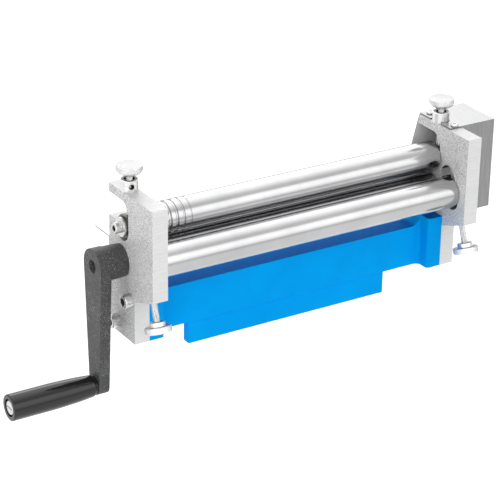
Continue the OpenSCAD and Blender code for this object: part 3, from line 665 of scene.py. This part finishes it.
gear_parts = ["upper_gear", "drive_gear", "upper_gear_key", "drive_gear_key"]
dress(gear_parts, machined_steel())
break_edges(["upper_gear", "drive_gear"], width=0.2 * mm, segments=1)
gear_washer_face = 192 * mm
gear_washers = ["upper_gear_washer", "drive_gear_washer"]
dress(gear_washers, zinc)
break_edges(gear_washers, width=0.3 * mm)
for name, height, body in (("upper_gear", upper_z, "upper_roll"), ("drive_gear", drive_z, "drive_roll")):
    spun(f"{name}_socket_screw", end_screw, (gear_washer_face, 0, height), (1, 0, 0), zinc,
         body, [f"{name}_screw"], head_steps, socket_bands)


# The gear cover: folded from brushed steel sheet, its inside painted pale grey as light, its
# flange held on the right plate by two pan-head screws with cross recesses.
def satin_sheet(name, low, high, smooth, rough, lit_inside=None):
    """A sheet brushed up its walls and to the rear on top, its side ends painted dark as shade.

    Lit inside gives two corners of a box within which it is painted pale grey as light instead, without the
    shaded ends.
    """
    material, shader = finish_of(name, high, metallic=1.0, roughness=rough)
    facing = parts_of(material, "Normal")
    level_face = number(material, "GREATER_THAN", facing["Z"], 0.7)
    lines = mixed(material, level_face, grain(material, scale=1, detail=3, stretch=(1500, 1500, 40)),
                  grain(material, scale=1, detail=3, stretch=(1500, 40, 40)))
    colour = shades(material, lines, low, high)
    # Inside the box the sheet is painted pale grey, as the light that comes in past the plate.
    if lit_inside:
        spot = parts_of(material, "Object")
        inner = 1
        for axis, least, most in zip("XYZ", *lit_inside):
            above = number(material, "GREATER_THAN", spot[axis], least)
            below = number(material, "LESS_THAN", spot[axis], most)
            inner = number(material, "MULTIPLY", inner, number(material, "MULTIPLY", above, below))
        clouds = grain(material, scale=20, detail=2)
        colour = mixed(material, inner, colour, shades(material, clouds, grey(0.70), grey(0.80)))
        joined(material, values(material, inner, 1, 0, 0, 1), shader, "Metallic")
    else:
        # Its side ends are painted near black, as shade.
        end = values(material, number(material, "ABSOLUTE", facing["X"]), 0, 1, 0.7, 0.95)
        colour = mixed(material, end, colour, shades(material, lines, grey(0.08), grey(0.13)))
    joined(material, colour, shader, "Base Color")
    joined(material, values(material, lines, smooth, rough), shader, "Roughness")
    bumps(material, shader, lines, depth=0.006 * mm)
    return material


inside_cover = ((100 * mm, -21.6 * mm, 0), (212.6 * mm, 24.35 * mm, 162.9 * mm))
dress(["gear_cover"], satin_sheet("cover_sheet", (0.235, 0.235, 0.238), (0.31, 0.31, 0.314),
                                  smooth=0.25, rough=0.34, lit_inside=inside_cover))
break_edges(["gear_cover"], width=0.5 * mm)


def cross(reach, half):
    """The radius of a cross recess of a reach and a half width."""
    def radius(a, h):
        off = abs((a + math.pi / 4) % (math.pi / 2) - math.pi / 4)
        return min(reach, half / max(math.sin(off), 0.01))
    return radius


def pan_head(d, length, head_d, head_h):
    """The rings of a pan-head screw, its seat at 0 and its recess above."""
    r = head_d / 2
    reach = 0.5 * r
    return [(-length, 0), (-length, d / 2), (0, d / 2), (0, 0.96 * r), (0.1 * head_h, r),
            (0.5 * head_h, 0.99 * r), (0.75 * head_h, 0.92 * r), (0.92 * head_h, 0.8 * r),
            (head_h, 0.64 * r), (head_h, 0.56 * r), (head_h, cross(reach, 0.12 * r)),
            (0.4 * head_h, cross(0.5 * reach, 0.08 * r)), (0.3 * head_h, 0)]


cross_bands = 2
pan_steps = 144
cover_screw_x = 169.5 * mm
cover_screw_y = 19 * mm
cover_top = 164.5 * mm
cover_screw = pan_head(d=4 * mm, length=8.5 * mm, head_d=7.5 * mm, head_h=2.2 * mm)
for i, y in enumerate((-cover_screw_y, cover_screw_y)):
    spun(f"cover_pan_screw_{i + 1}", cover_screw, (cover_screw_x, y, cover_top), (0, 0, 1), zinc,
         "frame", ["gear_cover_screws"], pan_steps, cross_bands)


# The feed tray: a thin bent steel sheet behind the nip, screwed to the rear edges of
# both plates.
dress(["feed_tray"], satin_sheet("tray_sheet", (0.38, 0.38, 0.385), (0.47, 0.47, 0.475),
                                 smooth=0.32, rough=0.46))
break_edges(["feed_tray"], width=0.2 * mm)
screw_x = 167.5 * mm
tray_face = 25 * mm
tray_screw_z = 103.25 * mm
tray_screw = pan_head(d=5 * mm, length=10 * mm, head_d=9 * mm, head_h=3 * mm)
for i, x in enumerate((-screw_x, screw_x)):
    spun(f"tray_pan_screw_{i + 1}", tray_screw, (x, tray_face, tray_screw_z), (0, 1, 0), zinc,
         "frame", ["feed_tray_screws"], pan_steps, cross_bands)


# The crank: an iron casting with a drafted boss and a tapering arm, painted dark grey
# over its rough skin. A blackened set screw in the rear of the boss locks it.
def crank_paint():
    material, shader = finish_of("crank_paint", (0.05, 0.05, 0.052), metallic=0.0, roughness=0.5)
    skin = grain(material, scale=640, detail=5, roughness=0.7)
    chips = grain(material, scale=1310, detail=2, roughness=0.8)
    worn = grain(material, scale=60, detail=2)
    paint = shades(material, skin, (0.006, 0.006, 0.007), (0.060, 0.060, 0.062))
    iron = shades(material, skin, grey(0.22), grey(0.44))
    chipped = number(material, "ADD", chips, values(material, worn, 0, 0.08))
    bare = values(material, chipped, 0, 1, 0.655, 0.70)
    joined(material, mixed(material, bare, paint, iron), shader, "Base Color")
    joined(material, values(material, skin, 0.40, 0.62), shader, "Roughness")
    bumps(material, shader, skin, depth=0.30 * mm)
    return material


dress(["crank_arm"], crank_paint())
break_edges(["crank_arm"], width=1.3 * mm, segments=3)
dress(["crank_washer"], zinc)
break_edges(["crank_washer"], width=0.25 * mm)


def black_oxide():
    material, shader = finish_of("black_oxide", grey(0.04), metallic=0.9, roughness=0.4)
    wear = grain(material, scale=900, detail=3)
    joined(material, shades(material, wear, grey(0.03), grey(0.06)), shader, "Base Color")
    joined(material, values(material, wear, 0.3, 0.5), shader, "Roughness")
    return material


dress(["crank_set_screw"], black_oxide())


# The grip: moulded gloss-black plastic, narrowing to the crank, that turns on a plated
# bolt whose slotted head lies in the recess of its end. A black washer parts it from
# the arm.
def gloss_plastic():
    material, shader = finish_of("gloss_plastic", (0.008, 0.008, 0.009), metallic=0.0, roughness=0.1)
    shader.inputs["Specular IOR Level"].default_value = 0.45
    smears = grain(material, scale=60, detail=3)
    joined(material, values(material, smears, 0.07, 0.16), shader, "Roughness")
    return material


grip_start = -207.4 * mm
grip_z = -19 * mm
grip_bore = 4.05 * mm
crank_end = softened([(0, 9 * mm), (0.6 * mm, 9.8 * mm), (1.6 * mm, 10.1 * mm)], radius=0.5 * mm)
swell = softened([(3 * mm, 10.2 * mm), (15 * mm, 11.3 * mm), (36 * mm, 12.15 * mm), (54 * mm, 12.2 * mm)],
                 radius=12 * mm, steps=8)
free_end = softened([(78 * mm, 12.2 * mm), (82 * mm, 12.2 * mm), (82 * mm, 9 * mm), (82 * mm, 8 * mm),
                     (79 * mm, 8 * mm), (79 * mm, grip_bore)], radius=1.2 * mm, steps=5)
grip_outline = [(0, grip_bore)] + crank_end + swell + free_end
plastic = gloss_plastic()
spun("moulded_grip", grip_outline, (grip_start, 0, grip_z), (-1, 0, 0), plastic,
     "grip", ["crank_grip"], steps=128)
dress(["grip_washer"], plastic)
break_edges(["grip_washer"], width=0.25 * mm)


def slot(reach, half):
    """The radius of a straight slot of a reach and a half width."""
    return lambda a, h: min(reach, half / max(abs(math.sin(a)), 0.01))


bolt_seat = 286.8 * mm
bolt_l = 92.3 * mm
bolt_r = 4 * mm
head_r = 6.5 * mm
spun("grip_cheese_bolt", [
    (-bolt_l, 0), (-bolt_l, bolt_r), (0, bolt_r), (0, head_r - 0.2 * mm), (0.2 * mm, head_r),
    (1.5 * mm, head_r), (1.85 * mm, head_r - 0.2 * mm), (2 * mm, head_r - 0.6 * mm), (2 * mm, 5.6 * mm),
    (2 * mm, slot(5.2 * mm, 0.6 * mm)), (0.9 * mm, slot(5.2 * mm, 0.55 * mm)), (0.9 * mm, 0)],
    (-bolt_seat, 0, grip_z), (-1, 0, 0), zinc, "drive_roll", ["grip_bolt"], steps=180)


# The top adjusting screws: M6 screws, each with a knurled knob pressed on, that pass
# through a lock collar and the arm to the flat of the upper bush. Bright zinc plated.
def threaded(start, end, r, pitch, depth):
    """The rings of a right-hand thread between two heights."""
    def radius(a, h):
        phase = (h / pitch - a / (2 * math.pi)) % 1
        return r - depth * abs(2 * phase - 1)
    steps = round((end - start) / pitch * 6)
    return [(start, 0), (start, r - depth - 0.2 * mm)] + \
        [(start + 0.3 * mm + (end - start - 0.3 * mm) * i / steps, radius) for i in range(steps + 1)] + \
        [(end, 0)]


def diamond(r, depth, count, slant):
    """The radius of a diamond knurl, its points a little below the radius."""
    return lambda a, h: r - depth * max(abs(math.sin(a * count / 2 + h * slant)),
                                        abs(math.sin(a * count / 2 - h * slant)))


# Its level faces are painted far darker, as shade against the light from above.
bright = zinc_plate("bright_plate", (0.80, 0.80, 0.795), grey(0.33))
thread = dict(r=3 * mm, pitch=1 * mm, depth=0.32 * mm)
thread_steps = 36
knurl = dict(depth=0.35 * mm, count=60, slant=1500)
knob_steps = 240
top_knob_z = 177.5 * mm
for side, way in (("left", -1), ("right", 1)):
    body = f"{side}_top_adjuster"
    spun(f"{side}_top_thread", threaded(start=139.5 * mm, end=181.5 * mm, **thread),
         (way * screw_x, 0, 0), (0, 0, 1), bright, body, [f"{side}_top_screw"], thread_steps)
    rim = [(4.6 * mm + 0.35 * mm * i, diamond(12 * mm, **knurl)) for i in range(11)]
    spun(f"{side}_top_knurled_knob", [
        (0, 0), (0, 6.6 * mm), (0.4 * mm, 7.2 * mm), (1.4 * mm, 9.2 * mm), (2.6 * mm, 10.7 * mm),
        (3.8 * mm, 11.5 * mm), (4.4 * mm, 11.75 * mm)] + rim + [
        (8.3 * mm, 11.75 * mm), (8.7 * mm, 11.5 * mm), (9 * mm, 11 * mm), (9 * mm, 0)],
        (way * screw_x, 0, top_knob_z), (0, 0, 1), bright, body, [f"{side}_top_knob"],
        knob_steps)
collars = ["left_lock_collar", "right_lock_collar"]
# The collars' tops and bores round the screw are painted near black, as shade.
dress(collars, zinc_plate("collar_plate", (0.84, 0.84, 0.835), grey(0.50), (screw_x, 7.3 * mm)))
break_edges(collars, width=0.3 * mm)


# The low adjusting screws: M6 screws with flanged, knurled knobs at their lower ends.
# They tilt with the slide and bear on the flats of the bending bushes.
slide_tilt = math.radians(20)
low_knob_drop = 60.75 * mm
up_slide = Vector((0, math.sin(slide_tilt), math.cos(slide_tilt)))
for side, way in (("left", -1), ("right", 1)):
    body = f"{side}_low_adjuster"
    middle = Vector((way * screw_x, bend_y, bend_z))
    spun(f"{side}_low_thread", threaded(start=-54.75 * mm, end=-9 * mm, **thread),
         middle, up_slide, bright, body, [f"{side}_low_screw"], thread_steps)
    rim = [(0.85 * mm + 0.33 * mm * i, diamond(12.2 * mm, **knurl)) for i in range(14)]
    spun(f"{side}_low_knurled_knob", [
        (0, 0), (0, 11.2 * mm), (0.3 * mm, 11.7 * mm), (0.65 * mm, 11.95 * mm)] + rim + [
        (5.4 * mm, 11.95 * mm), (5.75 * mm, 11.7 * mm), (6 * mm, 11.2 * mm), (6 * mm, 7.6 * mm),
        (6.3 * mm, 7.25 * mm), (9.5 * mm, 7.25 * mm), (10 * mm, 6.7 * mm), (10 * mm, 0)],
        middle - up_slide * low_knob_drop, up_slide, bright, body, [f"{side}_low_knob"],
        knob_steps)
